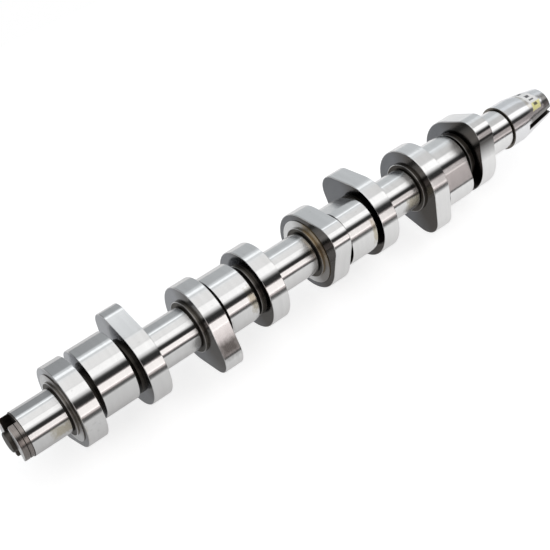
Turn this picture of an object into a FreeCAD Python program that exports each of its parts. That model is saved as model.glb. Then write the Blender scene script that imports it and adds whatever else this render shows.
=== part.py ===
import FreeCAD, Part
import math
import os
import Sketcher

# Camshaft of a four-cylinder engine with a pump lobe for each cylinder, in millimetres.
# The shaft runs along +X, from the slotted drive end to the tapered nose.
# The origin is the middle of the centre journal, and +Z is up as the shaft lies on its lobes.
# A direction around the shaft is an angle from +Y, turning towards +Z.

SIZES = {
    # layout along the shaft
    "pitch": 88.0,              # from one cylinder to the next
    "valve_offset": 21.7,       # from a cylinder's middle to each of its valve lobes
    "centre_shift": 1.6,        # the lobes on each side of the longer centre journal give way by this much
    "valve_width": 12.6,
    "pump_width": 22.0,
    # directions of the lobes
    "rest_turn": 40.8,          # nose of the rear cylinder's inner valve lobe, as the shaft rests
    "valve_split": 110.0,       # between the two valve lobes of a cylinder
    "pump_turn": -3.4,          # pump lobe against the inner valve lobe
    # valve lobe: base circle and nose circle joined by straight flanks
    "valve_base_r": 25.7,
    "valve_nose_r": 12.6,
    "valve_nose_c": 21.6,
    # pump lobe: base circle, steep straight flank, nose circle and a long falling back
    "pump_base_r": 18.0,
    "pump_nose_r": 14.5,
    "pump_nose_x": 11.3,
    "pump_nose_y": 0.95,
    "pump_back_slack": 0.08,    # back arc against the smallest circle that holds both of the others
    # shaft between the lobes
    "core_r": 13.2,
    "journal_r": 14.0,
    "hub_r": 17.0,              # low hub on both sides of each valve lobe
    "hub_h": 1.8,
    "relief": 0.8,              # groove between a hub and the journal beside it
    "land_r": 21.5,             # round raised land on the rear face of two valve lobes
    "land_h": 0.5,
    # drive end
    "rear_journal_x": -186.4,
    "drive_x": -192.6,
    "drive_r": 13.5,
    "drive_groove_x": -188.9,
    "drive_groove_w": 0.5,
    "drive_groove_r": 13.1,
    "drive_root": 2.0,          # how far the drive end reaches into the shaft
    "boss_r": 6.2,
    "boss_h": 2.2,
    "slot_width": 11.0,
    "slot_offset": 1.3,         # the slot stands off the axis, so that its coupling fits one way only
    "slot_depth": 5.8,
    "slot_turn": 64.8,
    # nose
    "collar_x": 190.4,
    "collar_r": 15.5,
    "taper_x": 204.0,
    "nose_x": 231.0,
    "nose_end_r": 11.2,
    "bolt_hole_r": 5.1,
    "bolt_hole_depth": 32.0,
    "bolt_hole_mouth_r": 7.0,
    "key_width": 4.0,
    "key_depth": 3.0,
    "key_start_x": 204.8,
    "key_turn": 171.0,
    # edges
    "journal_chamfer": 0.4,
    "hub_chamfer": 0.3,
    "lobe_chamfer": 0.4,
    "end_chamfer": 0.8,
}

# Turn of each cylinder's inner valve lobe, from the rear cylinder to the front one.
CYLINDER_TURNS = (0, 270, 90, 180)

# Valve lobes with a round land on the rear face.
LANDED_LOBES = ("outer_lobe_1", "inner_lobe_3")

# Radius of a pump lobe's back arc.
PUMP_REACH = "sqrt( pump_nose_x ^ 2 + pump_nose_y ^ 2 )"
PUMP_BACK = f"( pump_base_r + pump_nose_r + {PUMP_REACH} ) / 2 + pump_back_slack"

# Two lengths closer than this are the same.
TOLERANCE = 1e-4

doc = FreeCAD.newDocument("camshaft")
sheet = doc.addObject("Spreadsheet::Sheet", "Sizes")
for row, (name, value) in enumerate(SIZES.items(), start=1):
    sheet.set(f"A{row}", name)
    sheet.set(f"B{row}", str(value))
    sheet.setAlias(f"B{row}", name)
doc.recompute()

body = doc.addObject("PartDesign::Body", "camshaft")
planes = {}
for feature in body.Origin.OriginFeatures:
    planes[feature.Role] = feature


def bind(item, path, expression):
    """Drives one property from the sheet; words of SIZES in the expression are its cells."""
    words = expression.split(" ")
    item.setExpression(path, " ".join("Sizes." + word if word in SIZES else word for word in words))


def cross_section(name, station, turn="0"):
    """Empty sketch across the shaft at a station, turned about the shaft."""
    sketch = body.newObject("Sketcher::SketchObject", name)
    sketch.AttachmentSupport = [(planes["YZ_Plane"], "")]
    sketch.MapMode = "FlatFace"
    bind(sketch, "AttachmentOffset.Base.z", station)
    turned = FreeCAD.Rotation(FreeCAD.Vector(0, 0, 1), 1)
    sketch.AttachmentOffset = FreeCAD.Placement(FreeCAD.Vector(), turned)
    bind(sketch, "AttachmentOffset.Rotation.Angle", turn)
    return sketch


def named(sketch, constraint, name, expression):
    """Adds a driving dimension bound to the sheet."""
    index = sketch.addConstraint(constraint)
    sketch.renameConstraint(index, name)
    bind(sketch, f"Constraints.{name}", expression)


def add_disc(name, station, radius, length):
    """Round stretch of the shaft, from a station towards the nose."""
    sketch = cross_section(name + "_sketch", station)
    circle = sketch.addGeometry(Part.Circle(FreeCAD.Vector(), FreeCAD.Vector(0, 0, 1), SIZES[radius]))
    sketch.addConstraint(Sketcher.Constraint("Coincident", circle, 3, -1, 1))
    named(sketch, Sketcher.Constraint("Radius", circle, SIZES[radius]), "radius", radius)
    return add_pad(name, sketch, length)


def add_pad(name, sketch, length):
    """Raises a cross-section towards the nose."""
    pad = body.newObject("PartDesign::Pad", name)
    pad.Profile = sketch
    bind(pad, "Length", length)
    sketch.Visibility = False
    doc.recompute()
    return pad


def add_pocket(name, sketch, length, **options):
    """Cut, checked to take material away."""
    before = body.Shape.Volume
    pocket = body.newObject("PartDesign::Pocket", name)
    pocket.Profile = sketch
    bind(pocket, "Length", length)
    for option, value in options.items():
        setattr(pocket, option, value)
    sketch.Visibility = False
    doc.recompute()
    if not body.Shape.Volume < before:
        raise RuntimeError(f"{name} takes nothing away")
    return pocket


def arc(centre, radius, start, end):
    """Arc in sketch coordinates, anticlockwise between two angles in radians."""
    circle = Part.Circle(FreeCAD.Vector(centre[0], centre[1], 0), FreeCAD.Vector(0, 0, 1), radius)
    return Part.ArcOfCircle(circle, start, end)


def line(first, last):
    """Straight line in sketch coordinates."""
    return Part.LineSegment(FreeCAD.Vector(*first, 0), FreeCAD.Vector(*last, 0))


def at(centre, radius, angle):
    """Point at a distance and an angle in radians from a centre."""
    return (centre[0] + radius * math.cos(angle), centre[1] + radius * math.sin(angle))


def chain(sketch, count):
    """Joins each outline element smoothly to the next, end to start."""
    for i in range(count):
        sketch.addConstraint(Sketcher.Constraint("Tangent", i, 2, (i + 1) % count, 1))


def add_valve_lobe(name, station, turn):
    """Base circle and nose circle joined by the two lines that touch both."""
    base, nose, reach = SIZES["valve_base_r"], SIZES["valve_nose_r"], SIZES["valve_nose_c"]
    touch = math.acos((base - nose) / reach)
    centre = (reach, 0)
    sketch = cross_section(name + "_sketch", station, turn)
    sketch.addGeometry(arc((0, 0), base, touch, 2 * math.pi - touch))
    sketch.addGeometry(line(at((0, 0), base, -touch), at(centre, nose, -touch)))
    sketch.addGeometry(arc(centre, nose, -touch, touch))
    sketch.addGeometry(line(at(centre, nose, touch), at((0, 0), base, touch)))
    chain(sketch, 4)
    sketch.addConstraint(Sketcher.Constraint("Coincident", 0, 3, -1, 1))
    sketch.addConstraint(Sketcher.Constraint("PointOnObject", 2, 3, -1))
    named(sketch, Sketcher.Constraint("Radius", 0, base), "base", "valve_base_r")
    named(sketch, Sketcher.Constraint("Radius", 2, nose), "nose", "valve_nose_r")
    named(sketch, Sketcher.Constraint("DistanceX", -1, 1, 2, 3, reach), "reach", "valve_nose_c")
    return add_pad(name, sketch, "valve_width")


def add_pump_lobe(name, station, length, turn):
    """Steep straight flank on one side of the nose and a wide arc falling to the base circle on the other."""
    base, nose = SIZES["pump_base_r"], SIZES["pump_nose_r"]
    centre = (SIZES["pump_nose_x"], SIZES["pump_nose_y"])
    reach = math.hypot(*centre)
    back = (base + nose + reach) / 2 + SIZES["pump_back_slack"]
    lean = math.atan2(centre[1], centre[0])
    touch = lean - math.acos((base - nose) / reach)
    # centre of the back arc, which holds both circles inside it
    along = ((back - base) ** 2 - (back - nose) ** 2 + reach ** 2) / (2 * reach)
    across = math.sqrt((back - base) ** 2 - along ** 2)
    back_c = at(at((0, 0), along, lean), across, lean - math.pi / 2)
    nose_end = math.atan2(centre[1] - back_c[1], centre[0] - back_c[0])
    back_end = math.atan2(-back_c[1], -back_c[0])
    sketch = cross_section(name + "_sketch", station, turn)
    sketch.addGeometry(arc((0, 0), base, back_end, touch + 2 * math.pi))
    sketch.addGeometry(line(at((0, 0), base, touch), at(centre, nose, touch)))
    sketch.addGeometry(arc(centre, nose, touch, nose_end))
    sketch.addGeometry(arc(back_c, back, nose_end, back_end))
    chain(sketch, 4)
    sketch.addConstraint(Sketcher.Constraint("Coincident", 0, 3, -1, 1))
    named(sketch, Sketcher.Constraint("Radius", 0, base), "base", "pump_base_r")
    named(sketch, Sketcher.Constraint("Radius", 2, nose), "nose", "pump_nose_r")
    named(sketch, Sketcher.Constraint("Radius", 3, back), "back", PUMP_BACK)
    named(sketch, Sketcher.Constraint("DistanceX", -1, 1, 2, 3, centre[0]), "nose_x", "pump_nose_x")
    named(sketch, Sketcher.Constraint("DistanceY", -1, 1, 2, 3, centre[1]), "nose_y", "pump_nose_y")
    return add_pad(name, sketch, length)


def closed_outline(sketch, corners, expressions):
    """Straight-sided outline; each corner is then driven by its pair of expressions."""
    count = len(corners)
    for i in range(count):
        sketch.addGeometry(line(corners[i], corners[(i + 1) % count]))
    for i in range(count):
        sketch.addConstraint(Sketcher.Constraint("Coincident", i, 2, (i + 1) % count, 1))
    for i, (x, y) in enumerate(expressions):
        named(sketch, Sketcher.Constraint("DistanceX", -1, 1, i, 1, corners[i][0]), f"x{i}", x)
        named(sketch, Sketcher.Constraint("DistanceY", -1, 1, i, 1, corners[i][1]), f"y{i}", y)


def profile(name, points, turn="0"):
    """Closed sketch along the shaft through points given as pairs of expressions for station and radius."""
    sketch = body.newObject("Sketcher::SketchObject", name)
    sketch.AttachmentSupport = [(planes["XZ_Plane"], "")]
    sketch.MapMode = "FlatFace"
    turned = FreeCAD.Rotation(FreeCAD.Vector(1, 0, 0), 1)
    sketch.AttachmentOffset = FreeCAD.Placement(FreeCAD.Vector(), turned)
    bind(sketch, "AttachmentOffset.Rotation.Angle", turn)
    # the corners start on a ring, in their order around the outline, and the dimensions move them home
    ring = [at((0, 0), SIZES["pitch"], -2 * math.pi * i / len(points)) for i in range(len(points))]
    closed_outline(sketch, ring, points)
    return sketch


def add_turned(name, points):
    """Turned end of the shaft."""
    sketch = profile(name + "_sketch", points)
    turned = body.newObject("PartDesign::Revolution", name)
    turned.Profile = sketch
    turned.ReferenceAxis = (sketch, ["H_Axis"])
    turned.Angle = 360
    sketch.Visibility = False
    doc.recompute()
    return turned


def chamfer_rims(name, size, wanted):
    """Chamfers the edges across the shaft that pass a test of station, least and greatest radius."""
    tip = body.Tip
    names = []
    for i, edge in enumerate(tip.Shape.Edges, start=1):
        points = edge.discretize(9)
        stations = [point.x for point in points]
        radii = [math.hypot(point.y, point.z) for point in points]
        if max(stations) - min(stations) < TOLERANCE and wanted(stations[0], min(radii), max(radii)):
            names.append(f"Edge{i}")
    chamfer = body.newObject("PartDesign::Chamfer", name)
    chamfer.Base = (tip, names)
    bind(chamfer, "Size", size)
    doc.recompute()
    return chamfer


def near(first, last):
    """Whether two values are the same but for rounding."""
    return abs(first - last) < TOLERANCE


# Core of the shaft, then the lobes of the four cylinders with their hubs
add_disc("core", "rear_journal_x", "core_r", "collar_x - rear_journal_x")
hub_ends = []
lobe_ends = []
lands = []
for k, cylinder_turn in enumerate(CYLINDER_TURNS):
    outward = -1 if k < 2 else 1
    middle = f"{k - 1.5} * pitch"
    inner_offset = "( valve_offset - centre_shift )" if k in (1, 2) else "valve_offset"
    lobes = {
        "outer": (f"{middle} + {outward} * valve_offset", f"rest_turn + {cylinder_turn} - valve_split"),
        "inner": (f"{middle} - {outward} * {inner_offset}", f"rest_turn + {cylinder_turn}"),
    }
    for side, (station, turn) in lobes.items():
        name = f"{side}_lobe_{k + 1}"
        hub_start = f"{station} - valve_width / 2 - hub_h"
        hub = add_disc(name + "_hub", hub_start, "hub_r", "valve_width + 2 * hub_h")
        start = hub.Profile[0].Placement.Base.x
        hub_ends += [start, start + hub.Length.Value]
        lobe = add_valve_lobe(name, f"{station} - valve_width / 2", turn)
        start = lobe.Profile[0].Placement.Base.x
        lobe_ends += [(start, SIZES["valve_base_r"]), (start + lobe.Length.Value, SIZES["valve_base_r"])]
        if name in LANDED_LOBES:
            lands.append((name + "_land", f"{station} - valve_width / 2 - land_h"))
    pump_start = f"{middle} - pump_width / 2" + (" + centre_shift" if k == 2 else "")
    pump_length = "pump_width - centre_shift" if k in (1, 2) else "pump_width"
    pump_turn = f"rest_turn + pump_turn + {cylinder_turn}"
    lobe = add_pump_lobe(f"pump_lobe_{k + 1}", pump_start, pump_length, pump_turn)
    start = lobe.Profile[0].Placement.Base.x
    lobe_ends += [(start, SIZES["pump_base_r"]), (start + lobe.Length.Value, SIZES["pump_base_r"])]


def is_lobe_edge(station, least, most):
    """Outlines of the lobes, which come no nearer to the axis than their base circles."""
    return any(near(station, end) and least > base - TOLERANCE for end, base in lobe_ends)


def is_hub_edge(station, least, most):
    """Outer rims of the hubs, not the corners where they meet a lobe."""
    return near(least, SIZES["hub_r"]) and any(near(station, end) for end in hub_ends)


def is_journal_edge(station, least, most):
    """Full circles of the journals' size."""
    return near(least, SIZES["journal_r"]) and near(most, least)


# Chamfers of the lobes and of the hubs, then the lands
chamfer_rims("lobe_edges", "lobe_chamfer", is_lobe_edge)
chamfer_rims("hub_edges", "hub_chamfer", is_hub_edge)
for name, station in lands:
    add_disc(name, station, "land_r", "valve_width / 2")

# Journals, each between the hubs of the lobes beside it
hub_gap = "( valve_width / 2 + hub_h + relief )"
edge_lobe = "( 1.5 * pitch + valve_offset )"
side_lobe = "( 0.5 * pitch + valve_offset )"
next_lobe = "( 1.5 * pitch - valve_offset )"
mid_lobe = "( 0.5 * pitch - valve_offset + centre_shift )"
side_length = f"{next_lobe} - {side_lobe} - 2 * {hub_gap}"
add_disc("journal_1", "rear_journal_x", "journal_r", f"0 - {edge_lobe} - {hub_gap} - rear_journal_x")
add_disc("journal_2", f"{hub_gap} - {next_lobe}", "journal_r", side_length)
add_disc("journal_3", f"{hub_gap} - {mid_lobe}", "journal_r", f"2 * {mid_lobe} - 2 * {hub_gap}")
add_disc("journal_4", f"{side_lobe} + {hub_gap}", "journal_r", side_length)
add_disc("journal_5", f"{edge_lobe} + {hub_gap}", "journal_r", f"collar_x - relief - {edge_lobe} - {hub_gap}")
chamfer_rims("journal_edges", "journal_chamfer", is_journal_edge)

# Drive end: a grooved band a little under the journal's size, slotted right across
add_turned("drive_end", [
    ("rear_journal_x + drive_root", "0"),
    ("drive_x", "0"),
    ("drive_x", "drive_r - end_chamfer"),
    ("drive_x + end_chamfer", "drive_r"),
    ("drive_groove_x - drive_groove_w / 2", "drive_r"),
    ("drive_groove_x - drive_groove_w / 2", "drive_groove_r"),
    ("drive_groove_x + drive_groove_w / 2", "drive_groove_r"),
    ("drive_groove_x + drive_groove_w / 2", "drive_r"),
    ("rear_journal_x + drive_root", "drive_r"),
])
slot_sketch = cross_section("slot_sketch", "drive_x", "slot_turn")
reach = 2 * SIZES["drive_r"]
low = SIZES["slot_offset"] - SIZES["slot_width"] / 2
high = SIZES["slot_offset"] + SIZES["slot_width"] / 2
closed_outline(slot_sketch, [(-reach, low), (reach, low), (reach, high), (-reach, high)], [
    ("-2 * drive_r", "slot_offset - slot_width / 2"),
    ("2 * drive_r", "slot_offset - slot_width / 2"),
    ("2 * drive_r", "slot_offset + slot_width / 2"),
    ("-2 * drive_r", "slot_offset + slot_width / 2"),
])
add_pocket("slot", slot_sketch, "slot_depth", Reversed=True)

# Round boss standing in the slot
add_turned("boss", [
    ("rear_journal_x", "0"),
    ("drive_x - boss_h", "0"),
    ("drive_x - boss_h", "boss_r - journal_chamfer"),
    ("drive_x - boss_h + journal_chamfer", "boss_r"),
    ("rear_journal_x", "boss_r"),
])

# Nose: a straight collar, a taper, a bolt hole in its end and a keyway along one side
add_turned("nose", [
    ("collar_x", "0"),
    ("collar_x", "collar_r - journal_chamfer"),
    ("collar_x + journal_chamfer", "collar_r"),
    ("taper_x", "collar_r"),
    ("nose_x - end_chamfer", "nose_end_r"),
    ("nose_x", "nose_end_r - end_chamfer"),
    ("nose_x", "bolt_hole_mouth_r"),
    ("nose_x - bolt_hole_mouth_r + bolt_hole_r", "bolt_hole_r"),
    ("nose_x - bolt_hole_depth", "bolt_hole_r"),
    ("nose_x - bolt_hole_depth - bolt_hole_r / 2", "0"),
])
slope = "( collar_r - nose_end_r ) / ( nose_x - end_chamfer - taper_x )"
key_sketch = profile("keyway_sketch", [
    ("key_start_x", f"collar_r - key_depth - ( key_start_x - taper_x ) * {slope}"),
    ("key_start_x", "collar_r + key_depth"),
    ("nose_x + key_depth", "collar_r + key_depth"),
    ("nose_x + key_depth", f"nose_end_r - key_depth - ( key_depth + end_chamfer ) * {slope}"),
], "key_turn - 90")
add_pocket("keyway", key_sketch, "key_width", SideType="Symmetric")

for item in doc.Objects:
    if "Invalid" in item.State or "Error" in item.State:
        raise RuntimeError(f"{item.Name} is {item.State}")
if body.Shape.isNull() or not body.Shape.isValid() or len(body.Shape.Solids) != 1:
    raise RuntimeError("the camshaft is not one valid solid")

os.makedirs("parts", exist_ok=True)
body.Shape.exportStep("parts/camshaft.step")
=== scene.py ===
import math
from functools import partialmethod

import bmesh
import bpy
from mathutils import Matrix, Vector


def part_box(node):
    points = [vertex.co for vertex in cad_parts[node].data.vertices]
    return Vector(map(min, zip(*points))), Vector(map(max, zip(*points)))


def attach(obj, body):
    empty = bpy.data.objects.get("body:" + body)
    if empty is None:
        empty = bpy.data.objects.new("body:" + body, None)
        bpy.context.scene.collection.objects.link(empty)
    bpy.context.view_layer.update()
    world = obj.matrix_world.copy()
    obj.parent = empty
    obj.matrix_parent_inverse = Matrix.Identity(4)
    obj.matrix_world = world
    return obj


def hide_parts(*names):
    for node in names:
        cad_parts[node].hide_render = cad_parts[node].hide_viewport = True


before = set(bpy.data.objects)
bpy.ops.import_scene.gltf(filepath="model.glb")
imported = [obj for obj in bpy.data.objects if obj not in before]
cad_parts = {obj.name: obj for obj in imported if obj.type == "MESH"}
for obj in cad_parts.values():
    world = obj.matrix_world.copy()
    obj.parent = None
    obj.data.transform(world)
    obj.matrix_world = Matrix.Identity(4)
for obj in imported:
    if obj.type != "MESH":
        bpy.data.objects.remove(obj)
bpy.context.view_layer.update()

bl_info = {
    "name": "Camshaft",
    "version": (1, 0, 0),
    "blender": (4, 5, 0),
    "location": "View3D > Sidebar > Camshaft",
    "description": "Makes a ground steel camshaft with paired valve lobes and wide pump lobes",
    "category": "Object",
}

# The shaft lies along X, from its slotted drive end to its tapered nose. Lengths are in metres.
# A direction around the shaft is an angle from +Y, turning towards +Z.
FLOOR_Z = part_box("camshaft")[0].z
MM = 0.001
DEGREES = 180 / math.pi
AROUND = 360                # points of every ring of the shaft
ROUNDING = tuple(math.radians(angle) for angle in (0, 30, 60, 90))
FINE_EDGE = 0.3 * MM        # broken edges of the hubs, journals and slot
HUB_EDGE = 0.4 * MM
END_EDGE = 0.8 * MM         # rounded edges at both ends of the shaft
END_EDGE_MIDDLE = 0.25 * MM
TAPER_STEPS = 4
GRAIN_HEIGHT = 0.02 * MM    # depth of the grinding and turning marks
PAINTED_SHADE_MIDDLE = 126.0        # direction in degrees of the darkest painted shade on the lobes' sides

# Finishes of the shaft, in the order of its material slots
GROUND, TURNED, SIDE, DRIVE, FACE, NOSE, HOLLOW = range(7)

# Forms of a ring: plain round, valve lobe or pump lobe
ROUND, VALVE, PUMP = range(3)


def length(name, description, default_mm, smallest=0.0):
    """Size property of the shaft, or a station along it."""
    return bpy.props.FloatProperty(
        name=name, description=description, default=default_mm * MM, min=smallest,
        subtype="DISTANCE", unit="LENGTH", precision=5)


def turn(name, description, default_degrees):
    """Angle property of the shaft."""
    return bpy.props.FloatProperty(
        name=name, description=description, default=math.radians(default_degrees),
        subtype="ANGLE", unit="ROTATION")


def tint(name, description, default):
    """Colour property."""
    return bpy.props.FloatVectorProperty(
        name=name, description=description, default=default, min=0.0, max=1.0,
        size=3, subtype="COLOR")


def share(name, description, default):
    """Property between nothing and all."""
    return bpy.props.FloatProperty(
        name=name, description=description, default=default, min=0.0, max=1.0, subtype="FACTOR")


class CamshaftSizes(bpy.types.PropertyGroup):
    """Sizes of the shaft"""
    pitch: length("Pitch", "From one cylinder to the next", 88.0)
    valve_offset: length("Valve offset", "From a cylinder's middle to each of its valve lobes", 21.7)
    centre_shift: length("Centre shift", "How far the lobes give way beside the longer centre journal", 1.6)
    valve_width: length("Valve lobe width", "Width of a valve lobe along the shaft", 12.6)
    pump_width: length("Pump lobe width", "Width of a pump lobe along the shaft", 22.0)
    rest_turn: turn("Rest turn", "Nose of the rear cylinder's inner valve lobe as the shaft rests", 40.8)
    valve_split: turn("Valve split", "Angle between the two valve lobes of a cylinder", 110.0)
    pump_turn: turn("Pump turn", "Pump lobe against the inner valve lobe", -3.4)
    valve_base_r: length("Valve base radius", "Base circle of a valve lobe", 25.7)
    valve_nose_r: length("Valve nose radius", "Nose circle of a valve lobe", 12.6)
    valve_nose_c: length("Valve nose reach", "From the axis to the middle of the nose circle", 21.6)
    pump_base_r: length("Pump base radius", "Base circle of a pump lobe", 18.0)
    pump_nose_r: length("Pump nose radius", "Nose circle of a pump lobe", 14.5)
    pump_nose_x: length("Pump nose reach", "Middle of the nose circle along the lobe", 11.3)
    pump_nose_y: length("Pump nose side", "Middle of the nose circle across the lobe", 0.95)
    pump_back_r: length("Pump back radius", "Long arc that falls from the nose to the base circle", 22.0)
    core_r: length("Core radius", "Shaft between the lobes", 13.2)
    journal_r: length("Journal radius", "Polished bearing stretches", 14.0)
    hub_r: length("Hub radius", "Low hub on both sides of a valve lobe", 17.0)
    hub_h: length("Hub height", "How far a hub stands out from its lobe", 1.8)
    relief: length("Relief groove", "Groove between a hub and the journal beside it", 0.8)
    land_r: length("Land radius", "Raised round land on the rear face of two valve lobes", 21.5)
    land_h: length("Land height", "How far the land stands out", 0.5)
    edge_r: length("Edge rounding", "Rounding along the outline of every lobe", 0.45)
    drive_x: length("Drive end station", "Rear face of the slotted drive end", -192.6, -1.0)
    rear_journal_x: length("Rear journal station", "Where the rear journal starts", -186.4, -1.0)
    drive_groove_x: length("Drive groove station", "Middle of the drive end's groove", -188.9, -1.0)
    drive_groove_w: length("Drive groove width", "Width of the drive end's groove", 0.5)
    drive_groove_d: length("Drive groove depth", "Depth of the drive end's groove", 0.4)
    drive_r: length("Drive end radius", "Band of the drive end", 13.5)
    boss_r: length("Boss radius", "Round boss standing in the slot", 6.2)
    boss_h: length("Boss height", "How far the boss stands out past the ears", 2.2)
    slot_width: length("Slot width", "Width of the slot across the drive end", 11.0)
    slot_offset: length("Slot offset", "How far the slot stands off the axis", 1.3)
    slot_depth: length("Slot depth", "Depth of the slot", 5.8)
    slot_turn: turn("Slot turn", "Direction in which the slot runs", 64.8)
    collar_x: length("Collar station", "Where the seal collar starts", 190.4)
    collar_r: length("Collar radius", "Seal collar before the taper", 15.5)
    taper_x: length("Taper station", "Where the taper starts", 204.0)
    nose_x: length("Nose station", "Front face of the nose", 231.0)
    nose_end_r: length("Nose radius", "Small end of the taper", 11.2)
    bore_r: length("Bolt hole radius", "Core of the bolt hole's thread", 5.1)
    thread_r: length("Thread radius", "Outer radius of the bolt hole's thread", 6.0)
    thread_pitch: length("Thread pitch", "From one turn of the thread to the next", 1.75)
    bore_depth: length("Bolt hole depth", "Depth of the bolt hole", 32.0)
    bore_mouth_r: length("Bolt hole mouth", "Radius of the hole's countersunk mouth", 7.0)
    key_width: length("Keyway width", "Width of the keyway", 4.0)
    key_depth: length("Keyway depth", "Depth of the keyway", 3.0)
    key_start_x: length("Keyway station", "Where the keyway starts", 204.8)
    key_turn: turn("Keyway turn", "Direction of the keyway", 171.0)


class CamshaftFinish(bpy.types.PropertyGroup):
    """Colours and gloss of the steel"""
    ground: tint("Ground steel", "Journals and running faces of the lobes", (0.80, 0.795, 0.79))
    # the turned steel's dark colour is partly painted shade of the gaps between the lobes
    turned: tint("Turned steel", "Hubs, lands and grooves", (0.18, 0.165, 0.145))
    # the sides' dark colour is partly their own skin and partly painted shade
    side: tint("Lobe sides", "Dark skin of the lobes' sides", (0.17, 0.175, 0.185))
    face: tint("End faces", "Faces at both ends of the shaft", (0.80, 0.80, 0.80))
    drive: tint("Drive band", "Unground band of the drive end", (0.275, 0.25, 0.235))
    nose: tint("Nose steel", "Collar and taper", (0.79, 0.79, 0.80))
    stain: tint("Oil stain", "Faint dried oil", (0.42, 0.34, 0.16))
    golden_tone: tint("Golden tone", "Golden hub beside the centre journal", (0.36, 0.29, 0.19))
    # this colour is also laid as painted shade on the taper, and darkens the upper edge of the last lobe's
    # flank
    wear_and_shade: tint("Wear and shade", "Rubbed patch on the flank of a lobe", (0.13, 0.12, 0.112))
    # painted shade: the darkest colour of the lobes' sides and lands
    skin: tint("Painted side shade", "Darkest part of the lobes' sides", (0.08, 0.072, 0.064))
    paint: tint("Paint mark", "Yellow inspection paint on the nose", (0.95, 0.91, 0.42))
    wash: tint("White wash", "Pale band of paint on the nose", (0.99, 0.99, 0.98))
    ink: tint("Ink", "Dark inspection marks on the nose", (0.05, 0.05, 0.06))
    gloss: share("Ground roughness", "Roughness of the ground faces", 0.15)
    grain: share("Grinding grain", "Strength of the grinding marks", 0.35)


# Rings of the shaft: each has a station, a form, a radius (or an inset for a lobe), a turn and a finish

class Rings:
    """List of rings along the shaft, from the rear pole to the bottom of the bolt hole."""

    def __init__(self):
        self.rows = []

    def add(self, x, size, finish, form=ROUND, turned=0.0):
        """Ring at a station, with the finish of the faces between it and the next one."""
        self.rows.append((x, size, finish, form, turned))

    def step(self, x, first, last, finish, wall, edge=0.0, rim_finish=None):
        """Flat shoulder across the shaft between two radii, with a rounded outer edge."""
        outer = max(first, last)
        rim = [(outer - edge * (1 - math.sin(t)), edge * (1 - math.cos(t)))
               for t in ROUNDING] if edge else [(outer, 0.0)]
        if last > first:
            self.add(x, first, wall)
            for r, dx in rim[:-1]:
                self.add(x + dx, r, wall if rim_finish is None else rim_finish)
            self.add(x + rim[-1][1], rim[-1][0], finish)
        else:
            for r, dx in reversed(rim):
                self.add(x - dx, r, wall)
            self.add(x, last, finish)

    def lobe(self, start, end, edge, form, turned, inner_rear, inner_front):
        """Lobe between two flat sides, with its outline rounded at both."""
        self.add(start, inner_rear, SIDE)
        for t in ROUNDING:
            self.add(start + edge * (1 - math.cos(t)), edge * (1 - math.sin(t)), GROUND, form, turned)
        for t in reversed(ROUNDING):
            finish = GROUND if t else SIDE
            self.add(end - edge * (1 - math.cos(t)), edge * (1 - math.sin(t)), finish, form, turned)
        self.add(end, inner_front, HOLLOW if form == PUMP else TURNED)


def taper_radius(s, x):
    """Radius of the nose's taper at a station."""
    slope = (s.collar_r - s.nose_end_r) / (s.nose_x - END_EDGE - s.taper_x)
    return s.collar_r - (x - s.taper_x) * slope


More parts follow.
